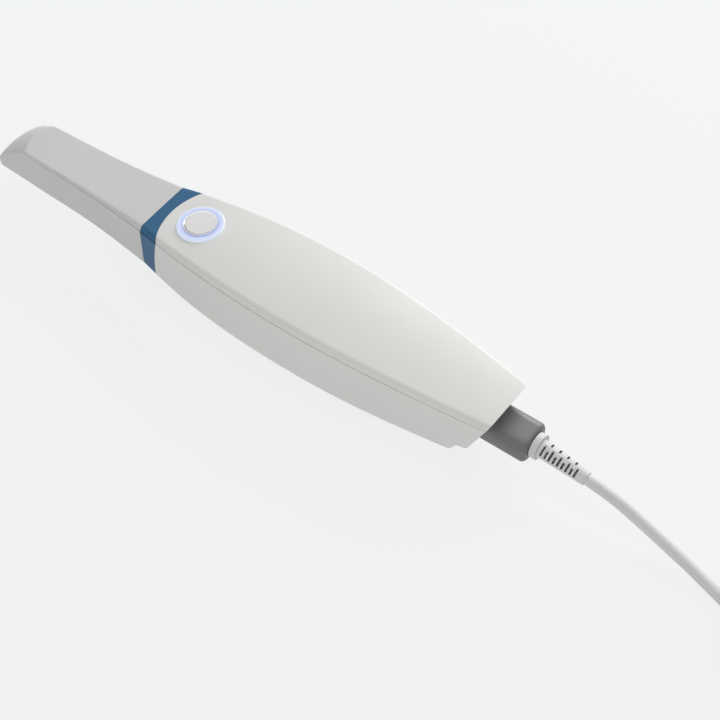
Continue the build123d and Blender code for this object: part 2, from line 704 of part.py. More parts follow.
flange_under = -BUTTON_SHOULDER - RIM_FLANGE_THICKNESS
cap_radius = button_radius - RIM_WIDTH
with BuildPart() as button_rim:
    disc(button_plane, flange_under, BUTTON_PROUD, button_radius, cap_radius)
    disc(button_plane, flange_under, -BUTTON_SHOULDER, flange_radius, cap_radius)
    top_edges = button_rim.edges().filter_by(GeomType.CIRCLE).group_by(Axis.Z)[-1]
    chamfer(top_edges.sort_by(SortBy.RADIUS)[-1], RIM_BEVEL)
finish(button_rim, "button_rim")

board_height = -BUTTON_BOARD_DEPTH
switch_top = board_height + SWITCH_SIZE[2]
plunger_top = switch_top + BUTTON_TRAVEL + PLUNGER_SPARE
plunger_foot = switch_top - PLUNGER_INSIDE_SWITCH
with BuildPart() as button_cap:
    disc(button_plane, -BUTTON_SHOULDER, BUTTON_PROUD, cap_radius)
    disc(button_plane, plunger_top, -BUTTON_SHOULDER, PLUNGER_DIAMETER / 2 + STEM_WALL)
finish(button_cap, "button_cap")

with BuildPart() as switch_plunger:
    disc(button_plane, plunger_foot, plunger_top, PLUNGER_DIAMETER / 2)
finish(switch_plunger, "switch_plunger")

with BuildPart() as tact_switch:
    with BuildSketch(button_plane.offset(board_height)):
        Rectangle(SWITCH_SIZE[0], SWITCH_SIZE[1])
    extrude(amount=SWITCH_SIZE[2])
    with BuildSketch(button_plane.offset(plunger_foot - BUTTON_TRAVEL - PLUNGER_SPARE)):
        Circle(PLUNGER_DIAMETER / 2 + PLUNGER_CLEARANCE)
    extrude(amount=SWITCH_SIZE[2], mode=Mode.SUBTRACT)
finish(tact_switch, "tact_switch")

with BuildPart() as button_board:
    with BuildSketch(button_plane.offset(board_height - BUTTON_BOARD_THICKNESS)):
        RectangleRounded(
            post_grid[0] + BUTTON_BOARD_RIM, post_grid[1] + BUTTON_BOARD_RIM, BUTTON_BOARD_CORNER
        )
    extrude(amount=BUTTON_BOARD_THICKNESS)
finish(button_board, "button_board")

with BuildPart() as ring_leds:
    with BuildSketch(button_plane.offset(board_height)):
        with PolarLocations((ring_radius + flange_radius) / 2, LED_COUNT):
            Rectangle(*LED_SIZE)
    extrude(amount=-LIGHT_RING_DEPTH - board_height - PIECE_FIT)
finish(ring_leds, "ring_leds")

# Main board with its processor, memory, heat sink, screws and socket
board_plane = Plane(origin=(board_x, 0, board_under))
board_top_plane = Plane(origin=(board_x, 0, board_top))
with BuildPart() as main_board:
    with BuildSketch(board_plane):
        RectangleRounded(board_length, BOARD_WIDTH, BOARD_CORNER)
        with GridLocations(*screw_grid, 2, 2):
            Circle(BOARD_HOLE_DIAMETER / 2, mode=Mode.SUBTRACT)
    extrude(amount=BOARD_THICKNESS)
finish(main_board, "main_board")

processor_plane = Plane(origin=(board_front_x + PROCESSOR_PLACE * board_length, 0, board_top))
with BuildPart() as processor:
    with BuildSketch(processor_plane):
        Rectangle(PROCESSOR_SIZE[0], PROCESSOR_SIZE[1])
    extrude(amount=PROCESSOR_SIZE[2])
finish(processor, "processor")

socket_start_x = connector_start_x - SOCKET_FROM_CONNECTOR - SOCKET_SIZE[0]
memory_x = socket_start_x - MEMORY_FROM_SOCKET - MEMORY_SIZE[0] / 2
with BuildPart() as memory_chips:
    with BuildSketch(Plane(origin=(memory_x, 0, board_top))):
        with GridLocations(0, MEMORY_SPACING, 1, 2):
            Rectangle(MEMORY_SIZE[0], MEMORY_SIZE[1])
    extrude(amount=MEMORY_SIZE[2])
finish(memory_chips, "memory_chips")

heat_sink_length = HEAT_SINK_SHARE * board_length
fin_pitch = (HEAT_SINK_WIDTH - FIN_THICKNESS) / (FIN_COUNT - 1)
with BuildPart() as heat_sink:
    with BuildSketch(processor_plane.offset(PROCESSOR_SIZE[2])):
        Rectangle(heat_sink_length, HEAT_SINK_WIDTH)
    extrude(amount=HEAT_SINK_BASE)
    with BuildSketch(processor_plane.offset(PROCESSOR_SIZE[2] + HEAT_SINK_BASE)):
        with GridLocations(0, fin_pitch, 1, FIN_COUNT):
            Rectangle(heat_sink_length, FIN_THICKNESS)
    extrude(amount=FIN_HEIGHT)
finish(heat_sink, "heat_sink")

with BuildPart() as board_screws:
    with BuildSketch(board_top_plane):
        with GridLocations(*screw_grid, 2, 2):
            Circle(SCREW_HEAD[0] / 2)
    extrude(amount=SCREW_HEAD[1])
    with BuildSketch(board_top_plane):
        with GridLocations(*screw_grid, 2, 2):
            Circle(SCREW_DIAMETER / 2)
    extrude(amount=-(BOARD_THICKNESS + SCREW_IN_BOSS))
finish(board_screws, "board_screws")

socket_bore = (SOCKET_SIZE[1] - 2 * SOCKET_WALL, SOCKET_SIZE[2] - 2 * SOCKET_WALL)
with BuildPart() as cable_socket:
    with BuildSketch(across(socket_start_x)):
        with Locations((0, CONNECTOR_Z)):
            RectangleRounded(SOCKET_SIZE[1], SOCKET_SIZE[2], SOCKET_CORNER)
    extrude(amount=SOCKET_SIZE[0])
    with BuildSketch(across(socket_start_x + SOCKET_BACK)):
        with Locations((0, CONNECTOR_Z)):
            RectangleRounded(*socket_bore, SOCKET_CORNER - SOCKET_WALL)
    extrude(amount=SOCKET_SIZE[0], mode=Mode.SUBTRACT)
finish(cable_socket, "cable_socket")

# Connector at the wand's end of the lead
with BuildPart() as connector_shell:
    with BuildSketch(across(connector_start_x)):
        with Locations((0, CONNECTOR_Z)):
            RectangleRounded(*CONNECTOR_SIZE, CONNECTOR_CORNER)
    extrude(amount=connector_end_x - connector_start_x)
    fillet(connector_shell.edges().group_by(Axis.X)[-1], CONNECTOR_ROUNDING)
finish(connector_shell, "connector_shell")

plug_size = (socket_bore[0] - 2 * PLUG_CLEARANCE, socket_bore[1] - 2 * PLUG_CLEARANCE)
plug_corner = SOCKET_CORNER - SOCKET_WALL - PLUG_CLEARANCE
with BuildPart() as plug_shell:
    with BuildSketch(across(connector_start_x - PLUG_LENGTH)):
        with Locations((0, CONNECTOR_Z)):
            RectangleRounded(*plug_size, plug_corner)
            RectangleRounded(
                plug_size[0] - 2 * PLUG_WALL,
                plug_size[1] - 2 * PLUG_WALL,
                plug_corner - PLUG_WALL,
                mode=Mode.SUBTRACT,
            )
    extrude(amount=PLUG_LENGTH)
finish(plug_shell, "plug_shell")

# Strain relief with staggered slots, drooping with the cable's weight
droop = radians(RELIEF_DROOP)
relief_plane = Plane(
    origin=(connector_end_x + RELIEF_FLANGE[1], 0, CONNECTOR_Z),
    x_dir=(0, 1, 0),
    z_dir=(cos(droop), 0, -sin(droop)),
)
with BuildPart() as strain_relief:
    with BuildSketch(across(connector_end_x)):
        with Locations((0, CONNECTOR_Z)):
            Circle(RELIEF_FLANGE[0] / 2)
    extrude(amount=RELIEF_FLANGE[1])
    fillet(strain_relief.edges().group_by(Axis.X)[-1], RELIEF_FLANGE_EDGE)
    with BuildSketch(relief_plane.offset(-RELIEF_FLANGE[1] / 2)):
        Circle(RELIEF_DIAMETERS[0] / 2)
    with BuildSketch(relief_plane.offset(RELIEF_LENGTH)):
        Circle(RELIEF_DIAMETERS[1] / 2)
    loft()
    fillet(strain_relief.edges().group_by(Axis.X)[-1], RELIEF_END_EDGE)
    for row in range(RELIEF_SLOTS):
        with BuildSketch(relief_plane.offset(SLOT_START + row * SLOT_PITCH)):
            Circle(RELIEF_DIAMETERS[0])
            Circle(CABLE_DIAMETER / 2, mode=Mode.SUBTRACT)
            Rectangle(SLOT_BRIDGES[row % 2], 4 * RELIEF_DIAMETERS[0], mode=Mode.SUBTRACT)
        extrude(amount=SLOT_WIDTH, mode=Mode.SUBTRACT)
finish(strain_relief, "strain_relief")

# Cable from the strain relief to the coil
coil_z = TIE_SIZE[1]
coil_centre = (TAIL_X + COIL_FROM_TAIL[0], COIL_FROM_TAIL[1])
coil_height = COIL_LAYERS * CABLE_DIAMETER
lead_exit = relief_plane.origin + relief_plane.z_dir * RELIEF_LENGTH
lead_straight = lead_exit + relief_plane.z_dir * LEAD_STRAIGHT
LEAD_ROUTE = [
    (lead_exit.X, 0.0, lead_exit.Z),
    (lead_straight.X, 0.0, lead_straight.Z),
    (TAIL_X + 53.25, -0.3, 8.8),
    (TAIL_X + 65.25, -1.3, 5.3),
    (TAIL_X + 76.75, -3.0, 3.2),
    (TAIL_X + 88.15, -6.0, 2.3),
    (TAIL_X + 97.75, -8.8, 2.9),
]


def sharp_radii(route):
    """The largest arc for each corner of a route: 0.45 of the shorter run on either side."""
    radii = []
    for before, here, after in zip(route, route[1:], route[2:]):
        into = Vector(*here) - Vector(*before)
        away = Vector(*after) - Vector(*here)
        turn = radians(into.get_angle(away))
        radii.append(0.45 * min(into.length, away.length) / tan(turn / 2))
    return radii


def cable_tube(route, name):
    """A plain round cable along a route of straight runs joined by arcs."""
    radii = sharp_radii(route)
    with BuildLine():
        path = FilletPolyline(*route, radius=radii)
    with BuildPart() as tube:
        with BuildSketch(Plane(origin=path @ 0, z_dir=path % 0)):
            Circle(CABLE_DIAMETER / 2)
        sweep(path=path)
    share = tube.part.volume / (path.length * pi * CABLE_DIAMETER**2 / 4)
    print(name, "radii", [round(radius, 1) for radius in radii])
    print(name, "length", round(path.length, 1), "volume over section times length", round(share, 4))
    finish(tube, name)


cable_tube(LEAD_ROUTE, "cable_lead")

# Put-away length of the cable, wound into a coil and held by a tie
coil_plane = Plane(origin=(*coil_centre, coil_z))
coil_reach = COIL_COLUMNS * CABLE_DIAMETER / 2
with BuildPart() as cable_coil:
    disc(coil_plane, 0, coil_height, COIL_DIAMETER / 2 + coil_reach, COIL_DIAMETER / 2 - coil_reach)
    fillet(cable_coil.edges().filter_by(GeomType.CIRCLE), COIL_EDGE)
finish(cable_coil, "cable_coil")

tie_plane = Plane(origin=(*coil_centre, 0), x_dir=(1, 0, 0), z_dir=(0, -1, 0))
tie_width = 2 * (coil_reach + TIE_SLACK)
with BuildPart() as coil_tie:
    with BuildSketch(tie_plane.offset(-TIE_SIZE[0] / 2)):
        with Locations((COIL_DIAMETER / 2, coil_z + coil_height / 2)):
            RectangleRounded(tie_width + 2 * TIE_SIZE[1], coil_height + 2 * TIE_SIZE[1], TIE_CORNER)
            RectangleRounded(tie_width, coil_height, TIE_CORNER - TIE_SIZE[1], mode=Mode.SUBTRACT)
    extrude(amount=TIE_SIZE[0])
finish(coil_tie, "coil_tie")

# Plug that goes into a computer, lying on the coil, and the cable's last stretch to it
plug_z = coil_z + coil_height + USB_BODY[2] / 2
lying_z = coil_z + coil_height + CABLE_DIAMETER / 2 + PIECE_FIT
coil_rim = COIL_DIAMETER / 2 + CABLE_DIAMETER
PLUG_ROUTE = [
    (coil_centre[0] + along * coil_rim, coil_centre[1] + aside * coil_rim, height)
    for (along, aside), height in zip(PLUG_TURNS, (lying_z, lying_z, plug_z, plug_z))
]
cable_tube(PLUG_ROUTE, "plug_lead")

usb_plane = Plane(origin=PLUG_ROUTE[-1], x_dir=(0, 1, 0), z_dir=(1, 0, 0))
with BuildPart() as usb_plug:
    with BuildSketch(usb_plane):
        RectangleRounded(USB_BODY[1], USB_BODY[2], USB_CORNER)
    extrude(amount=USB_BODY[0])
    fillet(usb_plug.edges().group_by(Axis.X)[0], USB_ROUNDING)
finish(usb_plug, "usb_plug")

with BuildPart() as usb_shell:
    with BuildSketch(usb_plane.offset(USB_BODY[0])):
        Rectangle(USB_SHELL[1], USB_SHELL[2])
        Rectangle(USB_SHELL[1] - 2 * USB_SHEET, USB_SHELL[2] - 2 * USB_SHEET, mode=Mode.SUBTRACT)
    extrude(amount=USB_SHELL[0])
finish(usb_shell, "usb_shell")

with BuildPart() as usb_tongue:
    with BuildSketch(usb_plane.offset(USB_BODY[0])):
        with Locations((0, (USB_SHELL[2] - USB_TONGUE[1]) / 2 - USB_SHEET)):
            Rectangle(USB_SHELL[1] - 2 * USB_SHEET, USB_TONGUE[1])
    extrude(amount=USB_TONGUE[0])
finish(usb_tongue, "usb_tongue")

for piece in finished:
    export_step(piece, f"parts/{piece.label}.step")

print("button plane", round(BUTTON_X, 3), round(button_z, 3), "tilt", round(degrees(button_tilt), 2))
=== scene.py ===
"""Dresses a handheld intraoral scanner: a wand with a sleeve tip, a lit button and a plug-in lead.

Everything is in metres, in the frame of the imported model: X runs along the wand from the
tip to the lead, Y across it and Z up. The origin is under the middle of the wand, on the
surface that it lies on.
"""

import math

import bmesh
import bpy
from bpy.props import FloatProperty, FloatVectorProperty, IntProperty, PointerProperty
from mathutils import Matrix, Vector


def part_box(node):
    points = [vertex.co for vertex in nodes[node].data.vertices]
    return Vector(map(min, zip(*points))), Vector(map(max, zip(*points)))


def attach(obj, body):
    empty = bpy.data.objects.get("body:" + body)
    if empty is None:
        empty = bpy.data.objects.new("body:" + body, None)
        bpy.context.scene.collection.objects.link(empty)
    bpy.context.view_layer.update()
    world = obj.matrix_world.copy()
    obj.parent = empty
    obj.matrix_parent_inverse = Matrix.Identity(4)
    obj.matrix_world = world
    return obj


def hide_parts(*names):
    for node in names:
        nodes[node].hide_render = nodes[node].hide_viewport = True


bl_info = {
    "name": "Intraoral Scanner",
    "version": (1, 0, 0),
    "blender": (4, 5, 0),
    "location": "View3D > Sidebar > Scanner",
    "description": "Finishes, lead and studio for a handheld intraoral scanner",
    "category": "Object",
}

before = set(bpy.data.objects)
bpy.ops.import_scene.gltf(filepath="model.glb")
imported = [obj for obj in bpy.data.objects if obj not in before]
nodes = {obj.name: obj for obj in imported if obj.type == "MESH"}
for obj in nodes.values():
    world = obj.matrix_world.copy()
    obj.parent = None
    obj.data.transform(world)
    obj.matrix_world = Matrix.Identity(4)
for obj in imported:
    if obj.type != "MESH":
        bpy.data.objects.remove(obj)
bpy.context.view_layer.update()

# Where the feet of inner ribs and bosses come through the belly: from and to along the wand, and
# from and to on both sides of its middle. They all end at one height, and a face of theirs whose
# normal is less upright than the steepness is one of their sides.
PEG_PLACES = ((-0.0212, -0.0090, 0.0062, 0.0098), (0.0907, 0.0960, 0.0050, 0.0101))
PEG_END = 0.001
PEG_SLACK = 0.00002
PEG_STEEPNESS = 0.5
MERGE_DISTANCE = 1e-6
CAD_NORMAL = "cad_normal"

# The lead's way from the strain relief to the coil, and from the coil to the plug
LEAD_ROUTE = [
    (0.144769, 0.0, 0.014111),
    (0.154672, 0.0, 0.012720),
    (0.1661, -0.0003, 0.0088),
    (0.1781, -0.0013, 0.0053),
    (0.1896, -0.0030, 0.0032),
    (0.2010, -0.0060, 0.0023),
    (0.2106, -0.0088, 0.0029),
]
PLUG_ROUTE = [
    (0.2039, 0.0238, 0.01975),
    (0.20342, 0.0053, 0.01975),
    (0.2169, -0.0084, 0.0214),
    (0.23641, -0.0084, 0.0214),
]

# The middle of the button on the crown, and how far its axis leans towards the tip
BUTTON_PLACE = (-0.01985, 0.0, 0.03149)
BUTTON_LEAN = math.radians(-5.28)

# Where the long and the short slots start around the strain relief, and how far they run
LONG_SLOT = (math.radians(96), math.radians(76))
SHORT_SLOT = (math.radians(121), math.radians(51))

# Half the width of the floor, and the share of it that is plainly bright to the camera
FLOOR_REACH = 3.0
FLOOR_GLOW = 0.88


def colour(name, description, default):
    """A colour that a user can change."""
    return FloatVectorProperty(
        name=name, description=description, subtype="COLOR", size=3, min=0, max=1, default=default
    )


def length(name, description, default):
    """A length in metres that a user can change."""
    return FloatProperty(
        name=name, description=description, subtype="DISTANCE", unit="LENGTH", min=0, default=default
    )


def degrees(name, description, default):
    """An angle that a user can change, from its default in degrees."""
    start = math.radians(default)
    return FloatProperty(
        name=name, description=description, subtype="ANGLE", unit="ROTATION", default=start
    )


def power(name, description, default):
    """The power of a lamp in watts that a user can change."""
    return FloatProperty(
        name=name, description=description, subtype="POWER", unit="POWER", min=0, default=default
    )


class ScannerFinishes(bpy.types.PropertyGroup):
    """Colours and surface grain of the scanner's pieces."""

    housing: colour("Housing", "White plastic of the two housings", (0.72, 0.72, 0.70))
    tip: colour("Tip", "Grey-white plastic of the tip", (0.60, 0.60, 0.59))
    collar: colour("Collar", "Blue plastic of the collar", (0.048, 0.137, 0.258))
    button: colour("Button", "Plastic of the push button", (0.76, 0.76, 0.75))
    ring_inner: colour("Ring, inner edge", "Light ring beside the button", (0.56, 0.64, 0.95))
    ring_outer: colour("Ring, outer edge", "Light ring beside the housing", (0.76, 0.85, 0.97))
    ring_start: length("Ring start", "Inner radius of the light ring", 0.0069)
    ring_end: length("Ring end", "Outer radius of the light ring", 0.0088)
    connector: colour("Connector", "Grey plastic of the connector", (0.145, 0.15, 0.148))
    cable: colour("Cable", "White sheath of the lead", (0.64, 0.64, 0.635))
    grain: length("Grain size", "Size of the mould grain", 0.0006)
    grain_depth: length("Grain depth", "Depth of the mould grain", 0.00001)
    edge: length("Edge rounding", "Rounding of the moulded edges", 0.0004)


class ScannerLead(bpy.types.PropertyGroup):
    """Sizes of the lead and of the coil that its spare length is wound into."""

    diameter: length("Diameter", "Diameter of the cable", 0.0042)
    coil_radius: length("Coil radius", "Radius of the coil at the middle of its turns", 0.024)
    coil_x: length("Coil X", "Middle of the coil along the wand", 0.2319)
    coil_y: length("Coil Y", "Middle of the coil across the wand", 0.0148)
    coil_base: length("Coil base", "Height of the coil's underside", 0.0008)
    columns: IntProperty(name="Columns", description="Turns beside each other", default=3, min=1)
    layers: IntProperty(name="Layers", description="Turns on top of each other", default=4, min=1)
    turn_points: IntProperty(name="Points", description="Points in each turn", default=16, min=12)
    entry: degrees("Entry", "Where the lead joins the coil", 250)
    leaving: degrees("Leaving", "Where the lead leaves the coil", 140)


class ScannerFittings(bpy.types.PropertyGroup):
    """Sizes of the strain relief, of the tie around the coil, and of the plug's ribs and contacts."""

    relief_length: length("Relief length", "Length of the strain relief from within its flange", 0.0196)
    relief_front: length("Relief front", "Radius of the strain relief at its flange", 0.00345)
    relief_rear: length("Relief rear", "Radius of the strain relief at the cable", 0.00255)
    flange_radius: length("Flange radius", "Radius of the strain relief's flange", 0.0047)
    flange_length: length("Flange length", "Length of the strain relief's flange", 0.0024)
    slots: IntProperty(name="Slots", description="Rows of slots in the strain relief", default=9, min=1)
    slot_start: length("Slot start", "Distance to the first row of slots", 0.0022)
    slot_pitch: length("Slot pitch", "Distance between rows of slots", 0.00165)
    slot_width: length("Slot width", "Width of a slot", 0.0006)
    tie_thickness: length("Tie thickness", "Thickness of the tape", 0.0007)
    tie_corner: length("Tie corner", "Radius at which the tape turns", 0.0024)
    tie_lap: length("Tie lap", "Length of tape that lies on itself", 0.008)
    ribs: IntProperty(name="Ribs", description="Ribs on the plug's grip", default=7, min=1)
    rib_start: length("Rib start", "Distance from the grip's end to the first rib", 0.006)
    rib_pitch: length("Rib pitch", "Distance between ribs", 0.0019)
    rib_width: length("Rib width", "Width of a rib", 0.0011)
    rib_share: FloatProperty(
        name="Rib share", description="Share of the grip that a rib spans", subtype="FACTOR", default=0.6
    )
    rib_rise: length("Rib rise", "Height of a rib above the grip", 0.0003)
    contacts: IntProperty(name="Contacts", description="Contacts on the tongue", default=4, min=1)
    contact_pitch: length("Contact pitch", "Distance between contacts", 0.0023)
    contact_width: length("Contact width", "Width of a contact", 0.001)
    contact_length: length("Contact length", "Length of a contact", 0.0075)
    contact_inset: length("Contact inset", "Distance from the tongue's end to the contacts", 0.001)
    contact_depth: length("Contact depth", "Thickness of a contact", 0.0003)


class ScannerStage(bpy.types.PropertyGroup):
    """Camera, lamps and floor."""

    camera: FloatVectorProperty(
        name="Camera",
        description="Place of the camera",
        subtype="TRANSLATION",
        unit="LENGTH",
        size=3,
        default=(0.309382, -0.349524, 0.563508),
    )
    azimuth: degrees("Azimuth", "Camera's turn around the wand", 36.5)
    elevation: degrees("Elevation", "Camera's angle above the floor", 52)
    lens: FloatProperty(name="Lens", description="Focal length in millimetres", default=100, min=1)
    floor: colour("Floor", "Colour of the floor", (0.91, 0.93, 0.92))
    surround: FloatProperty(
        name="Surround", description="Strength of the light from all around", default=0.24, min=0
    )
    key: power("Key", "Power of the large lamp", 12.8)
    top: power("Top", "Power of the lamp overhead", 2.1)
    fill: power("Fill", "Power of the low lamp", 5.0)


def shade(name):
    """A new material with its node tree and its shader."""
    material = bpy.data.materials.new(name)
    material.use_nodes = True
    return material, material.node_tree, material.node_tree.nodes["Principled BSDF"]


def feed(tree, socket, value):
    """Link an input to another node's socket, or set it."""
    if isinstance(value, bpy.types.NodeSocket):
        tree.links.new(value, socket)
    else:
        socket.default_value = value


def put(tree, kind, settings=None, **inputs):
    """Add a node, with its settings and with its inputs by name."""
    made = tree.nodes.new(kind)
    for key, value in (settings or {}).items():
        setattr(made, key, value)
    for key, value in inputs.items():
        feed(tree, made.inputs[key.replace("_", " ")], value)
    return made


def calc(tree, operation, *values):
    """The result of a sum on numbers and sockets."""
    made = put(tree, "ShaderNodeMath", {"operation": operation})
    for socket, value in zip(made.inputs, values):
        feed(tree, socket, value)
    return made.outputs["Value"]


def noise(tree, place, size, detail=3.0):
    """Cloudy noise whose features have this size in metres, from 0 to 1."""
    return put(tree, "ShaderNodeTexNoise", Vector=place, Scale=1 / size, Detail=detail).outputs["Fac"]


def between(tree, fac, low, high):
    """A number from low to high, driven by a noise that is mostly from 0.3 to 0.7."""
    spread = {"From_Min": 0.3, "From_Max": 0.7, "To_Min": low, "To_Max": high}
    return put(tree, "ShaderNodeMapRange", Value=fac, **spread).outputs["Result"]


def tint(tree, fac, one, other):
    """A colour between two others."""
    mix = put(tree, "ShaderNodeMix", {"data_type": "RGBA"}, Factor=fac, A=(*one, 1), B=(*other, 1))
    return mix.outputs["Result"]


def scaled(rgb, share):
    """A colour made darker or lighter."""
    return tuple(min(1.0, value * share) for value in rgb)


def relief(tree, shader, height, depth, edge=0.0):
    """Give a shader the bumps of a height field, and rounded edges."""
    bump = put(tree, "ShaderNodeBump", Height=height, Distance=depth)
    if edge:
        rounded = put(tree, "ShaderNodeBevel", {"samples": 6}, Radius=edge)
        tree.links.new(rounded.outputs["Normal"], bump.inputs["Normal"])
    tree.links.new(bump.outputs["Normal"], shader.inputs["Normal"])


def object_place(tree):
    """The place on the piece, in metres."""
    return put(tree, "ShaderNodeTexCoord").outputs["Object"]


def moulded(name, rgb, roughness, look, edge=1.0):
    """Moulded plastic: rounded edges, mould grain, a faint drift of colour and an uneven sheen."""
    material, tree, shader = shade(name)
    place = object_place(tree)
    drift = between(tree, noise(tree, place, 0.03), 0, 1)
    sheen = between(tree, noise(tree, place, 0.008), roughness - 0.04, roughness + 0.04)
    tone = tint(tree, drift, scaled(rgb, 0.985), scaled(rgb, 1.015))
    tree.links.new(tone, shader.inputs["Base Color"])
    tree.links.new(sheen, shader.inputs["Roughness"])
    relief(tree, shader, noise(tree, place, look.grain, 2.0), look.grain_depth, edge * look.edge)
    return material


def metal(name, rgb, roughness, stretch=(1, 1, 1), grain=0.0004):
    """Metal with fine marks, drawn out along one way where it is brushed."""
    material, tree, shader = shade(name)
    place = put(tree, "ShaderNodeMapping", Vector=object_place(tree), Scale=stretch).outputs["Vector"]
    marks = noise(tree, place, grain, 4.0)
    tone = tint(tree, between(tree, marks, 0, 1), scaled(rgb, 0.94), rgb)
    tree.links.new(tone, shader.inputs["Base Color"])
    tree.links.new(between(tree, marks, roughness * 0.8, roughness * 1.25), shader.inputs["Roughness"])
    shader.inputs["Metallic"].default_value = 1
    relief(tree, shader, marks, 0.000002)
    return material


def soft_sheath(name, rgb, roughness):
    """Soft sheath of a cable: a fine pull along its length and a dull sheen."""
    material, tree, shader = shade(name)
    place = object_place(tree)
    drift = between(tree, noise(tree, place, 0.02), 0, 1)
    tone = tint(tree, drift, scaled(rgb, 0.98), scaled(rgb, 1.02))
    tree.links.new(tone, shader.inputs["Base Color"])
    sheen = between(tree, noise(tree, place, 0.003), roughness - 0.05, roughness + 0.05)
    tree.links.new(sheen, shader.inputs["Roughness"])
    relief(tree, shader, noise(tree, place, 0.0008, 2.0), 0.000002)
    return material


def lit_guide(name, look):
    """Frosted light guide: deep in colour beside the button, paler at its rim, and faintly lit."""
    material, tree, shader = shade(name)
    place = object_place(tree)
    lean = {"Location": BUTTON_PLACE, "Rotation": (0, BUTTON_LEAN, 0)}
    level = put(tree, "ShaderNodeMapping", {"vector_type": "TEXTURE"}, Vector=place, **lean)
    across = put(tree, "ShaderNodeVectorMath", {"operation": "MULTIPLY"})
    tree.links.new(level.outputs["Vector"], across.inputs[0])
    across.inputs[1].default_value = (1, 1, 0)
    radius = put(tree, "ShaderNodeVectorMath", {"operation": "LENGTH"}, Vector=across.outputs["Vector"])
    reach = {"From_Min": look.ring_start, "From_Max": look.ring_end}
    share = put(tree, "ShaderNodeMapRange", Value=radius.outputs["Value"], **reach).outputs["Result"]
    frosted = tint(tree, share, scaled(look.ring_inner, 0.55), scaled(look.ring_outer, 0.55))
    tree.links.new(frosted, shader.inputs["Base Color"])
    tree.links.new(tint(tree, share, look.ring_inner, look.ring_outer), shader.inputs["Emission Color"])
    shader.inputs["Emission Strength"].default_value = 0.45
    tree.links.new(between(tree, noise(tree, place, 0.0005), 0.35, 0.45), shader.inputs["Roughness"])
    relief(tree, shader, noise(tree, place, 0.0004, 2.0), 0.000005, look.edge)
    return material


def clear_glass(name, rgb, roughness=0.03):
    """Coated optical glass."""
    material, tree, shader = shade(name)
    smear = noise(tree, object_place(tree), 0.004)
    tree.links.new(between(tree, smear, roughness, roughness + 0.04), shader.inputs["Roughness"])
    shader.inputs["Base Color"].default_value = (*rgb, 1)
    shader.inputs["Transmission Weight"].default_value = 1
    shader.inputs["IOR"].default_value = 1.52
    return material


def circuit(name, rgb, copper):
    """Circuit board: solder mask over lighter tracks on a square grid."""
    material, tree, shader = shade(name)
    place = object_place(tree)
    settings = {"feature": "F1", "distance": "CHEBYCHEV"}
    cells = put(tree, "ShaderNodeTexVoronoi", settings, Vector=place, Scale=700, Randomness=0.35)
    edge = {"From_Min": 0.38, "From_Max": 0.42}
    track = put(tree, "ShaderNodeMapRange", Value=cells.outputs["Distance"], **edge).outputs["Result"]
    tree.links.new(tint(tree, track, rgb, copper), shader.inputs["Base Color"])
    tree.links.new(between(tree, noise(tree, place, 0.002), 0.28, 0.42), shader.inputs["Roughness"])
    relief(tree, shader, track, 0.00003)
    return material


def woven(name, rgb):
    """Woven tape: crossing threads and a soft fuzz."""
    material, tree, shader = shade(name)
    place = object_place(tree)
    threads = []
    for way in ("X", "Z"):
        settings = {"wave_type": "BANDS", "bands_direction": way, "wave_profile": "SIN"}
        wave = put(tree, "ShaderNodeTexWave", settings, Vector=place, Scale=260, Distortion=0.4)
        threads.append(wave.outputs["Fac"])
    weave = calc(tree, "MULTIPLY", threads[0], threads[1])
    tone = tint(tree, weave, scaled(rgb, 0.6), scaled(rgb, 1.6))
    tree.links.new(tone, shader.inputs["Base Color"])
    tree.links.new(between(tree, noise(tree, place, 0.001), 0.75, 0.95), shader.inputs["Roughness"])
    relief(tree, shader, weave, 0.0001)
    return material


def dress(material, *names):
    """Give CAD nodes a finish."""
    for name in names:
        slots = nodes[name].data.materials
        slots.clear()
        slots.append(material)


def at_peg(place):
    """Whether a point is over or under a place where a foot comes through the belly."""
    for start, stop, inner, outer in PEG_PLACES:
        if start < place.x < stop and inner < abs(place.y) < outer:
            return True
    return False


def on_peg_end(place):
    """Whether a point is as low as the feet that come through the belly."""
    return abs(place.z - PEG_END) < PEG_SLACK


def peg_faces(shape):
    """The ends of the feet that come through the belly, and their sides up to it."""
    close = [face for face in shape.faces if all(at_peg(corner.co) for corner in face.verts)]
    ends = {face for face in close if all(on_peg_end(corner.co) for corner in face.verts)}
    sides = {face for face in close if abs(face.normal.z) < PEG_STEEPNESS}
    fresh = [face for face in sides if any(on_peg_end(corner.co) for corner in face.verts)]
    found = ends.union(fresh)
    while fresh:
        for edge in fresh.pop().edges:
            more = [face for face in edge.link_faces if face in sides and face not in found]
            found.update(more)
            fresh.extend(more)
    return found


def level_belly(mesh):
    """Cut the feet off level with the belly and close it, with its shading as it was."""
    kept = mesh.attributes.new(CAD_NORMAL, "FLOAT_VECTOR", "CORNER")
    for item, corner in zip(kept.data, mesh.corner_normals):
        item.vector = corner.vector
    shape = bmesh.new()
    shape.from_mesh(mesh)
    bmesh.ops.remove_doubles(shape, verts=shape.verts, dist=MERGE_DISTANCE)
    bmesh.ops.delete(shape, geom=list(peg_faces(shape)), context="FACES")
    bmesh.ops.holes_fill(shape, edges=[edge for edge in shape.edges if edge.is_boundary])
    shape.to_mesh(mesh)
    shape.free()
    kept = mesh.attributes[CAD_NORMAL]
    mesh.normals_split_custom_set([item.vector[:] for item in kept.data])
    mesh.attributes.remove(mesh.attributes[CAD_NORMAL])


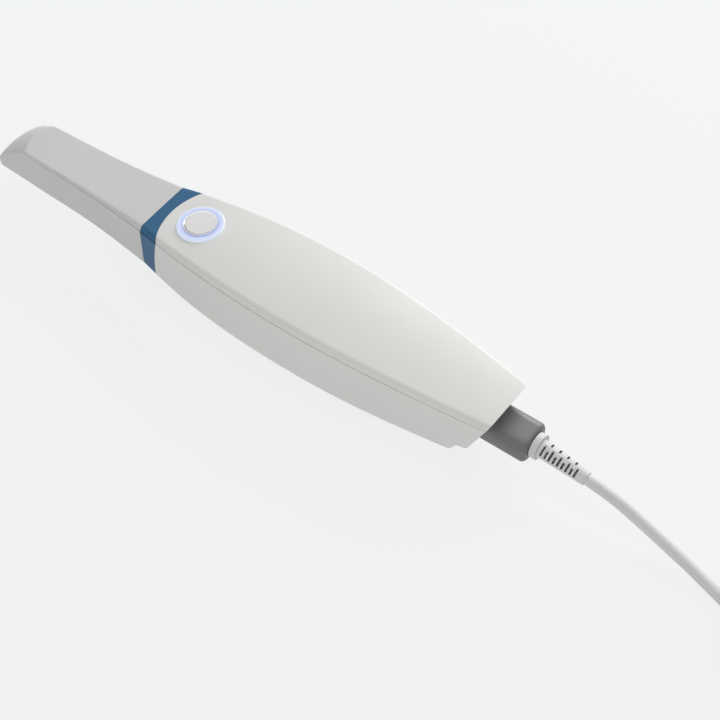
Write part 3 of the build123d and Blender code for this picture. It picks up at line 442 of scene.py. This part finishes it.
class ScannerShells(bpy.types.Operator):
    """Finish the tip, the collar and the two housings, and level the belly"""

    bl_idname = "scanner.shells"
    bl_label = "Shells"

    def execute(self, context):
        look = context.scene.scanner_finishes
        dress(moulded("upper_plastic", look.housing, 0.42, look, 0.25), "upper_housing")
        dress(moulded("lower_plastic", look.housing, 0.42, look), "lower_housing")
        mesh = nodes["lower_housing"].data.copy()
        mesh.name = "lower_shell"
        level_belly(mesh)
        belly = bpy.data.objects.new("lower_shell", mesh)
        context.collection.objects.link(belly)
        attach(belly, "wand")
        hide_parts("lower_housing")
        dress(moulded("tip_plastic", look.tip, 0.40, look), "tip_shell")
        collar = moulded("collar_plastic", look.collar, 0.38, look)
        shader = collar.node_tree.nodes["Principled BSDF"]
        shader.inputs["Specular IOR Level"].default_value = 0.1
        dress(collar, "collar_ring")
        return {"FINISHED"}


class ScannerButton(bpy.types.Operator):
    """Finish the button, its bright rim and the lit ring around it"""

    bl_idname = "scanner.button"
    bl_label = "Button"

    def execute(self, context):
        look = context.scene.scanner_finishes
        dress(moulded("button_plastic", look.button, 0.4, look), "button_cap")
        dress(metal("rim_chrome", (0.86, 0.86, 0.87), 0.08), "button_rim")
        dress(lit_guide("ring_light", look), "light_ring")
        return {"FINISHED"}


class ScannerOptics(bpy.types.Operator):
    """Finish the mirror, the optical nose and what looks through it"""

    bl_idname = "scanner.optics"
    bl_label = "Optics"

    def execute(self, context):
        look = context.scene.scanner_finishes
        dress(metal("mirror_silver", (0.92, 0.92, 0.92), 0.03), "tip_mirror")
        glass = clear_glass("window_glass", (0.93, 0.97, 0.98))
        dress(glass, "front_window", "camera_lens", "projector_lens")
        dress(moulded("nose_plastic", (0.075, 0.078, 0.08), 0.5, look), "nose_tube")
        dress(soft_sheath("seal_rubber", (0.02, 0.02, 0.02), 0.7), "nose_seal")
        dress(metal("spring_steel", (0.6, 0.6, 0.6), 0.28, (1, 8, 8)), "tip_clip_left", "tip_clip_right")
        dress(metal("bench_aluminium", (0.6, 0.61, 0.62), 0.35, (1, 6, 6)), "optical_bench", "heat_sink")
        dress(metal("barrel_black", (0.03, 0.03, 0.032), 0.45), "camera_barrel", "projector_barrel")
        return {"FINISHED"}


class ScannerElectronics(bpy.types.Operator):
    """Finish the boards and what is on them"""

    bl_idname = "scanner.electronics"
    bl_label = "Electronics"

    def execute(self, context):
        look = context.scene.scanner_finishes
        board = circuit("board_mask", (0.012, 0.10, 0.045), (0.05, 0.22, 0.10))
        dress(board, "main_board", "button_board", "camera_board", "projector_board")
        film = circuit("flex_film", (0.32, 0.13, 0.02), (0.45, 0.20, 0.04))
        dress(film, "camera_flex", "projector_flex")
        chips = moulded("chip_resin", (0.02, 0.02, 0.022), 0.55, look)
        dress(chips, "processor", "memory_chips", "tact_switch", "switch_plunger")
        dress(moulded("led_resin", (0.75, 0.70, 0.45), 0.2, look), "ring_leds")
        dress(metal("screw_steel", (0.58, 0.57, 0.55), 0.3), "board_screws")
        return {"FINISHED"}


def coil_turns(lead):
    """Points of the coil's turns: wound in and out between its columns, layer on layer.

    The last quarter of each turn leads over to the next column or layer.
    """
    step = 2 * math.pi / lead.turn_points
    middle = (lead.columns - 1) / 2
    radii = [lead.coil_radius + (middle - column) * lead.diameter for column in range(lead.columns)]
    ways = []
    for layer in range(lead.layers):
        ways += [(radius, layer) for radius in (radii if layer % 2 == 0 else radii[::-1])]
    last = lead.leaving + 2 * math.pi * len(ways) - lead.entry
    last -= 2 * math.pi * math.ceil((last - 2 * math.pi * len(ways)) / (2 * math.pi))
    points = []
    for index in range(int(last / step) + 1):
        turn, rest = divmod(index / lead.turn_points, 1)
        here = ways[min(int(turn), len(ways) - 1)]
        after = ways[min(int(turn) + 1, len(ways) - 1)]
        share = max(0.0, rest * 4 - 3)
        radius = here[0] + (after[0] - here[0]) * share
        layer = here[1] + (after[1] - here[1]) * share
        angle = lead.entry + index * step
        reach = radius / math.cos(step / 2)
        points.append(
            (
                lead.coil_x + reach * math.cos(angle),
                lead.coil_y + reach * math.sin(angle),
                lead.coil_base + (layer + 0.5) * lead.diameter,
            )
        )
    return points


def link_mesh(context, name, mesh, slot, *stands_for):
    """Show a mesh that moves with the lead, in the place of CAD nodes if any are named."""
    made = bpy.data.objects.new(name, mesh)
    context.collection.objects.link(made)
    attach(made, "lead")
    if stands_for:
        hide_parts(*stands_for)
    return made


def tape_path(low, high, fittings):
    """The way of a tape round the coil's turns: over the top, round, and over its own start."""
    inset = fittings.tie_thickness / 2
    left, right = low.x + inset, high.x - inset
    foot, top = low.z + inset, high.z - inset
    corner = fittings.tie_corner
    path = [((left + right - fittings.tie_lap) / 2, top)]
    for x, z, start in (
        (right - corner, top - corner, 90),
        (right - corner, foot + corner, 0),
        (left + corner, foot + corner, -90),
        (left + corner, top - corner, -180),
    ):
        for step in range(7):
            angle = math.radians(start - 15 * step)
            path.append((x + corner * math.cos(angle), z + corner * math.sin(angle)))
    raised = top + fittings.tie_thickness
    for share in (0.0, 0.2, 0.4, 0.6, 0.8, 1.0):
        x = left + corner + (fittings.tie_lap + right - left - 2 * corner) * share / 2
        path.append((x, top + (raised - top) * min(1.0, share * 2.5)))
    return path


class ScannerTie(bpy.types.Operator):
    """Wrap the coil's turns in a tape that is closed on itself"""

    bl_idname = "scanner.tie"
    bl_label = "Tie"

    def execute(self, context):
        fittings = context.scene.scanner_fittings
        low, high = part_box("coil_tie")
        path = tape_path(low, high, fittings)
        across = [low.y + (high.y - low.y) * share for share in (0.0, 0.03, 0.5, 0.97, 1.0)]
        rows = len(across)
        corners = [(x, y, z) for x, z in path for y in across]
        faces = [
            (row * rows + at, (row + 1) * rows + at, (row + 1) * rows + at + 1, row * rows + at + 1)
            for row in range(len(path) - 1)
            for at in range(rows - 1)
        ]
        mesh = bpy.data.meshes.new("tie_tape")
        mesh.from_pydata(corners, [], faces)
        mesh.shade_smooth()
        mesh.materials.append(woven("tie_tape", (0.03, 0.03, 0.034)))
        tape = link_mesh(context, "tie_tape", mesh, "tie_black", "coil_tie")
        body = tape.modifiers.new("Thickness", "SOLIDIFY")
        body.thickness = fittings.tie_thickness
        body.offset = 0
        return {"FINISHED"}


def bar_row_tree():
    """A node tree that lays round-backed bars in a row."""
    tree = bpy.data.node_groups.new("bar_row", "GeometryNodeTree")
    sockets = (
        ("Count", "NodeSocketInt"),
        ("Start", "NodeSocketVector"),
        ("Step", "NodeSocketVector"),
        ("Size", "NodeSocketVector"),
        ("Turn", "NodeSocketVector"),
        ("Finish", "NodeSocketMaterial"),
    )
    for name, kind in sockets:
        tree.interface.new_socket(name, in_out="INPUT", socket_type=kind)
    tree.interface.new_socket("Bars", in_out="OUTPUT", socket_type="NodeSocketGeometry")
    given = tree.nodes.new("NodeGroupInput").outputs
    bar = put(tree, "GeometryNodeMeshCylinder", Vertices=32, Radius=0.5, Depth=1.0).outputs["Mesh"]
    laid = put(tree, "GeometryNodeTransform", Geometry=bar, Rotation=given["Turn"]).outputs["Geometry"]
    sized = put(tree, "GeometryNodeTransform", Geometry=laid, Scale=given["Size"]).outputs["Geometry"]
    spots = {"Count": given["Count"], "Start_Location": given["Start"], "Offset": given["Step"]}
    row = put(tree, "GeometryNodeMeshLine", {"mode": "OFFSET"}, **spots).outputs["Mesh"]
    copies = put(tree, "GeometryNodeInstanceOnPoints", Points=row, Instance=sized).outputs["Instances"]
    whole = put(tree, "GeometryNodeRealizeInstances", Geometry=copies).outputs["Geometry"]
    done = put(tree, "GeometryNodeSetMaterial", Geometry=whole, Material=given["Finish"])
    put(tree, "NodeGroupOutput", Bars=done.outputs["Geometry"])
    return tree


def grown(context, name, tree, values):
    """A plain mesh of what a node tree makes with these values."""
    maker = bpy.data.objects.new(name, bpy.data.meshes.new(name))
    context.collection.objects.link(maker)
    modifier = maker.modifiers.new("Nodes", "NODES")
    modifier.node_group = tree
    for item in tree.interface.items_tree:
        if item.in_out == "INPUT":
            modifier[item.identifier] = values[item.name]
    mesh = bpy.data.meshes.new_from_object(maker.evaluated_get(context.evaluated_depsgraph_get()))
    bpy.data.objects.remove(maker)
    return mesh


class ScannerPlug(bpy.types.Operator):
    """Finish the plug, rib its grip and lay the contacts on its tongue"""

    bl_idname = "scanner.plug"
    bl_label = "Plug"

    def execute(self, context):
        look = context.scene.scanner_finishes
        fittings = context.scene.scanner_fittings
        grip = moulded("plug_plastic", look.housing, 0.42, look)
        plating = metal("contact_plating", (0.66, 0.66, 0.66), 0.22)
        dress(grip, "usb_plug")
        dress(plating, "usb_shell", "cable_socket", "plug_shell")
        dress(moulded("tongue_plastic", (0.02, 0.07, 0.30), 0.4, look), "usb_tongue")

        low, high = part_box("usb_plug")
        middle = (low + high) / 2
        rib_middle = high.z + fittings.rib_rise - fittings.rib_width / 2
        bars = bar_row_tree()
        ribs = grown(
            context,
            "usb_grip_ribs",
            bars,
            {
                "Count": fittings.ribs,
                "Start": (low.x + fittings.rib_start, middle.y, rib_middle),
                "Step": (fittings.rib_pitch, 0.0, 0.0),
                "Size": (fittings.rib_width, fittings.rib_share * (high.y - low.y), fittings.rib_width),
                "Turn": (math.pi / 2, 0.0, 0.0),
                "Finish": grip,
            },
        )
        link_mesh(context, "usb_grip_ribs", ribs, "plug_white")

        low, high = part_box("usb_tongue")
        middle = (low + high) / 2
        spread = fittings.contact_pitch * (fittings.contacts - 1)
        outset = fittings.contact_inset + fittings.contact_length / 2
        contacts = grown(
            context,
            "usb_contacts",
            bars,
            {
                "Count": fittings.contacts,
                "Start": (high.x - outset, middle.y - spread / 2, low.z),
                "Step": (0.0, fittings.contact_pitch, 0.0),
                "Size": (fittings.contact_length, fittings.contact_width, fittings.contact_depth),
                "Turn": (0.0, math.pi / 2, 0.0),
                "Finish": plating,
            },
        )
        link_mesh(context, "usb_contacts", contacts, "contact_steel")
        return {"FINISHED"}


def slotted_sleeve_tree():
    """A node tree for a tapered sleeve with a flange and rows of long and short slots by turns, whose
    floors get a dark painted shade.
    """
    tree = bpy.data.node_groups.new("slotted_sleeve", "GeometryNodeTree")
    sizes = (
        "Length",
        "Front Radius",
        "Rear Radius",
        "Core Radius",
        "Flange Radius",
        "Flange Length",
        "Droop",
        "Slots",
        "Slot Start",
        "Slot Pitch",
        "Slot Width",
    )
    for name in sizes:
        tree.interface.new_socket(name, in_out="INPUT", socket_type="NodeSocketFloat")
    for name in ("Finish", "Slot Painted Shade"):
        tree.interface.new_socket(name, in_out="INPUT", socket_type="NodeSocketMaterial")
    tree.interface.new_socket("Sleeve", in_out="OUTPUT", socket_type="NodeSocketGeometry")
    given = tree.nodes.new("NodeGroupInput").outputs

    fine = {"Vertices": 96, "Side_Segments": 130}
    tube = put(tree, "GeometryNodeMeshCylinder", Radius=1.0, Depth=given["Length"], **fine)
    spot = put(tree, "GeometryNodeInputPosition").outputs["Position"]
    here = put(tree, "ShaderNodeSeparateXYZ", Vector=spot).outputs
    along = calc(tree, "MULTIPLY_ADD", given["Length"], 0.5, here["Z"])
    step = calc(tree, "DIVIDE", calc(tree, "SUBTRACT", along, given["Slot Start"]), given["Slot Pitch"])
    begun = calc(tree, "GREATER_THAN", step, 0)
    in_rows = calc(tree, "MULTIPLY", begun, calc(tree, "LESS_THAN", step, given["Slots"]))
    gap = calc(tree, "DIVIDE", given["Slot Width"], given["Slot Pitch"])
    in_gap = calc(tree, "LESS_THAN", calc(tree, "FRACT", step), gap)
    around = calc(tree, "ARCTAN2", here["Y"], here["X"])
    pair = calc(tree, "FLOORED_MODULO", calc(tree, "SUBTRACT", around, LONG_SLOT[0]), math.pi)
    four = calc(tree, "FLOORED_MODULO", calc(tree, "SUBTRACT", around, SHORT_SLOT[0]), math.pi / 2)
    long_slot = calc(tree, "LESS_THAN", pair, LONG_SLOT[1])
    short_slot = calc(tree, "LESS_THAN", four, SHORT_SLOT[1])
    odd = calc(tree, "FLOORED_MODULO", calc(tree, "FLOOR", step), 2)
    number = {"data_type": "FLOAT"}
    in_arc = put(tree, "ShaderNodeMix", number, Factor=odd, A=long_slot, B=short_slot).outputs["Result"]
    in_slot = calc(tree, "MULTIPLY", calc(tree, "MULTIPLY", in_rows, in_gap), in_arc)
    taper = {"To_Min": given["Front Radius"], "To_Max": given["Rear Radius"]}
    cone = put(tree, "ShaderNodeMapRange", Value=along, From_Max=given["Length"], **taper)
    reach = {"A": cone.outputs["Result"], "B": given["Core Radius"]}
    radius = put(tree, "ShaderNodeMix", number, Factor=in_slot, **reach).outputs["Result"]
    place = put(
        tree,
        "ShaderNodeCombineXYZ",
        X=calc(tree, "MULTIPLY", here["X"], radius),
        Y=calc(tree, "MULTIPLY", here["Y"], radius),
        Z=calc(tree, "MULTIPLY_ADD", given["Length"], -0.5, along),
    ).outputs["Vector"]
    sleeve = put(tree, "GeometryNodeSetPosition", Geometry=tube.outputs["Mesh"], Position=place)

    round_disc = {"Vertices": 96, "Radius": given["Flange Radius"], "Depth": given["Flange Length"]}
    disc = put(tree, "GeometryNodeMeshCylinder", **round_disc).outputs["Mesh"]
    lean = put(tree, "ShaderNodeCombineXYZ", X=calc(tree, "MULTIPLY", given["Droop"], -1))
    drop = put(tree, "ShaderNodeCombineXYZ", Z=calc(tree, "MULTIPLY", given["Length"], -0.5))
    seat = {"Rotation": lean.outputs["Vector"], "Translation": drop.outputs["Vector"]}
    flange = put(tree, "GeometryNodeTransform", Geometry=disc, **seat)
    joined = put(tree, "GeometryNodeJoinGeometry")
    tree.links.new(sleeve.outputs["Geometry"], joined.inputs["Geometry"])
    tree.links.new(flange.outputs["Geometry"], joined.inputs["Geometry"])
    whole = put(tree, "GeometryNodeRealizeInstances", Geometry=joined.outputs["Geometry"])
    shape = whole.outputs["Geometry"]
    plain = put(tree, "GeometryNodeSetMaterial", Geometry=shape, Material=given["Finish"])
    # The slot floors get a dark grey material: painted shade where the cable lies in the slots' shadow.
    painted_shade = {"Selection": in_slot, "Material": given["Slot Painted Shade"]}
    done = put(tree, "GeometryNodeSetMaterial", Geometry=plain.outputs["Geometry"], **painted_shade)
    put(tree, "NodeGroupOutput", Sleeve=done.outputs["Geometry"])
    return tree


class ScannerRelief(bpy.types.Operator):
    """Mould the slotted strain relief, its long slots towards the near side"""

    bl_idname = "scanner.relief"
    bl_label = "Strain relief"

    def execute(self, context):
        look = context.scene.scanner_finishes
        fittings = context.scene.scanner_fittings
        lead = context.scene.scanner_lead
        start, onward = Vector(LEAD_ROUTE[0]), Vector(LEAD_ROUTE[1])
        axis = (onward - start).normalized()
        mesh = grown(
            context,
            "relief_sleeve",
            slotted_sleeve_tree(),
            {
                "Length": fittings.relief_length,
                "Front Radius": fittings.relief_front,
                "Rear Radius": fittings.relief_rear,
                "Core Radius": lead.diameter / 2,
                "Flange Radius": fittings.flange_radius,
                "Flange Length": fittings.flange_length,
                "Droop": math.asin(-axis.z),
                "Slots": float(fittings.slots),
                "Slot Start": fittings.slot_start,
                "Slot Pitch": fittings.slot_pitch,
                "Slot Width": fittings.slot_width,
                "Finish": moulded("relief_rubber", look.cable, 0.5, look, 0.5),
                # Painted shade: the slot floors are dark grey where the white cable lies in shadow.
                "Slot Painted Shade": soft_sheath("slot_painted_shade", (0.10, 0.10, 0.10), 0.7),
            },
        )
        middle = start - axis * fittings.relief_length / 2
        side = Vector((0, 1, 0))
        turn = Matrix((side, axis.cross(side), axis)).transposed().to_4x4()
        mesh.transform(Matrix.Translation(middle) @ turn)
        link_mesh(context, "relief_sleeve", mesh, "cable_white", "strain_relief")
        return {"FINISHED"}


class ScannerLeadCord(bpy.types.Operator):
    """Lay the cable, wind its spare length and finish what is on it"""

    bl_idname = "scanner.lead"
    bl_label = "Lead"

    def execute(self, context):
        look = context.scene.scanner_finishes
        lead = context.scene.scanner_lead
        dress(moulded("connector_plastic", look.connector, 0.38, look), "connector_shell")
        route = [*LEAD_ROUTE, *coil_turns(lead), *PLUG_ROUTE]
        curve = bpy.data.curves.new("lead_cable", "CURVE")
        curve.dimensions = "3D"
        spline = curve.splines.new("NURBS")
        spline.points.add(len(route) - 1)
        for point, place in zip(spline.points, route):
            point.co = (*place, 1)
        spline.order_u = 3
        spline.use_endpoint_u = True
        curve.bevel_depth = lead.diameter / 2
        curve.bevel_resolution = 6
        curve.use_fill_caps = True
        curve.materials.append(soft_sheath("cable_sheath", look.cable, 0.5))
        stands_for = ("cable_lead", "cable_coil", "plug_lead")
        cable = link_mesh(context, "lead_cable", curve, "cable_white", *stands_for)
        return {"FINISHED"}


def lamp(name, place, aim, size, power, mirrored=True):
    """A soft square lamp that looks at a point."""
    data = bpy.data.lights.new(name, "AREA")
    data.shape = "SQUARE"
    data.size = size
    data.energy = power
    made = bpy.data.objects.new(name, data)
    made.location = place
    made.rotation_euler = (Vector(aim) - Vector(place)).to_track_quat("-Z", "Y").to_euler()
    made.visible_glossy = mirrored
    bpy.context.collection.objects.link(made)


def seen_directly(tree):
    """1 for what the camera sees straight, in a reflection or through glass, else 0."""
    path = put(tree, "ShaderNodeLightPath").outputs
    mirrored = calc(tree, "MAXIMUM", path["Is Glossy Ray"], path["Is Transmission Ray"])
    return calc(tree, "MAXIMUM", path["Is Camera Ray"], mirrored)


class ScannerStudio(bpy.types.Operator):
    """Set up the floor, the lamps and the camera"""

    bl_idname = "scanner.stage"
    bl_label = "Stage"

    def execute(self, context):
        stage = context.scene.scanner_stage
        self.lay_floor(context, stage)
        self.set_lamps(context, stage)
        self.place_camera(context, stage)
        context.scene.view_settings.view_transform = "Standard"
        return {"FINISHED"}

    def lay_floor(self, context, stage):
        """A large pale sheet that is almost white to the camera and keeps a soft shadow."""
        mesh = bpy.data.meshes.new("floor")
        signs = ((-1, -1), (1, -1), (1, 1), (-1, 1))
        corners = [(x * FLOOR_REACH, y * FLOOR_REACH, 0) for x, y in signs]
        mesh.from_pydata(corners, [], [(0, 1, 2, 3)])
        floor = bpy.data.objects.new("floor", mesh)
        context.collection.objects.link(floor)
        material, tree, shader = shade("floor_paper")
        shader.inputs["Base Color"].default_value = (*scaled(stage.floor, 0.9), 1)
        shader.inputs["Roughness"].default_value = 0.9
        shader.inputs["Specular IOR Level"].default_value = 0
        glow = put(tree, "ShaderNodeEmission", Color=(*stage.floor, 1), Strength=1.0)
        share = calc(tree, "MULTIPLY", seen_directly(tree), FLOOR_GLOW)
        mix = put(tree, "ShaderNodeMixShader", Fac=share)
        tree.links.new(shader.outputs["BSDF"], mix.inputs[1])
        tree.links.new(glow.outputs["Emission"], mix.inputs[2])
        tree.links.new(mix.outputs["Shader"], tree.nodes["Material Output"].inputs["Surface"])
        mesh.materials.append(material)

    def set_lamps(self, context, stage):
        """Light from all around, and soft lamps over the far side, overhead and low on the near side."""
        world = bpy.data.worlds.new("studio")
        world.use_nodes = True
        tree = world.node_tree
        settings = {"data_type": "FLOAT"}
        sky = put(tree, "ShaderNodeMix", settings, Factor=seen_directly(tree), A=stage.surround, B=1.0)
        tree.links.new(sky.outputs["Result"], tree.nodes["Background"].inputs["Strength"])
        tree.nodes["Background"].inputs["Color"].default_value = (1, 1, 1, 1)
        context.scene.world = world
        lamp("key_lamp", (0.0, 1.0, 0.58), (0, 0, 0.02), 0.9, stage.key)
        lamp("top_lamp", (0.0, 0.0, 1.0), (0, 0, 0.02), 0.6, stage.top)
        lamp("fill_lamp", (0.35, -1.2, 0.24), (0.02, 0, 0.02), 0.45, stage.fill, mirrored=False)

    def place_camera(self, context, stage):
        """A level camera at the photograph's angle."""
        data = bpy.data.cameras.new("camera")
        data.lens = stage.lens
        data.sensor_width = 36
        camera = bpy.data.objects.new("camera", data)
        tilt = Matrix.Rotation(math.pi / 2 - stage.elevation, 4, "X")
        turn = Matrix.Rotation(stage.azimuth, 4, "Z")
        camera.matrix_world = Matrix.Translation(stage.camera) @ turn @ tilt
        context.collection.objects.link(camera)
        context.scene.camera = camera


OPERATORS = (
    ScannerShells,
    ScannerButton,
    ScannerOptics,
    ScannerElectronics,
    ScannerRelief,
    ScannerTie,
    ScannerPlug,
    ScannerLeadCord,
    ScannerStudio,
)


class ScannerPanel(bpy.types.Panel):
    """Lists what dresses the scanner"""

    bl_idname = "VIEW3D_PT_scanner"
    bl_label = "Intraoral Scanner"
    bl_space_type = "VIEW_3D"
    bl_region_type = "UI"
    bl_category = "Scanner"

    def draw(self, context):
        for operator in OPERATORS:
            self.layout.operator(operator.bl_idname)
        for group in (
            context.scene.scanner_finishes,
            context.scene.scanner_lead,
            context.scene.scanner_fittings,
            context.scene.scanner_stage,
        ):
            box = self.layout.box()
            for name in group.__annotations__:
                box.prop(group, name)


CLASSES = (ScannerFinishes, ScannerLead, ScannerFittings, ScannerStage, *OPERATORS, ScannerPanel)


def register():
    for made in CLASSES:
        bpy.utils.register_class(made)
    bpy.types.Scene.scanner_finishes = PointerProperty(type=ScannerFinishes)
    bpy.types.Scene.scanner_lead = PointerProperty(type=ScannerLead)
    bpy.types.Scene.scanner_fittings = PointerProperty(type=ScannerFittings)
    bpy.types.Scene.scanner_stage = PointerProperty(type=ScannerStage)


def unregister():
    del bpy.types.Scene.scanner_stage
    del bpy.types.Scene.scanner_fittings
    del bpy.types.Scene.scanner_lead
    del bpy.types.Scene.scanner_finishes
    for made in reversed(CLASSES):
        bpy.utils.unregister_class(made)


def main():
    """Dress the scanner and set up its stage."""
    register()
    bpy.ops.scanner.shells()
    bpy.ops.scanner.button()
    bpy.ops.scanner.optics()
    bpy.ops.scanner.electronics()
    bpy.ops.scanner.relief()
    bpy.ops.scanner.tie()
    bpy.ops.scanner.plug()
    bpy.ops.scanner.lead()
    bpy.ops.scanner.stage()


if __name__ == "__main__":
    main()
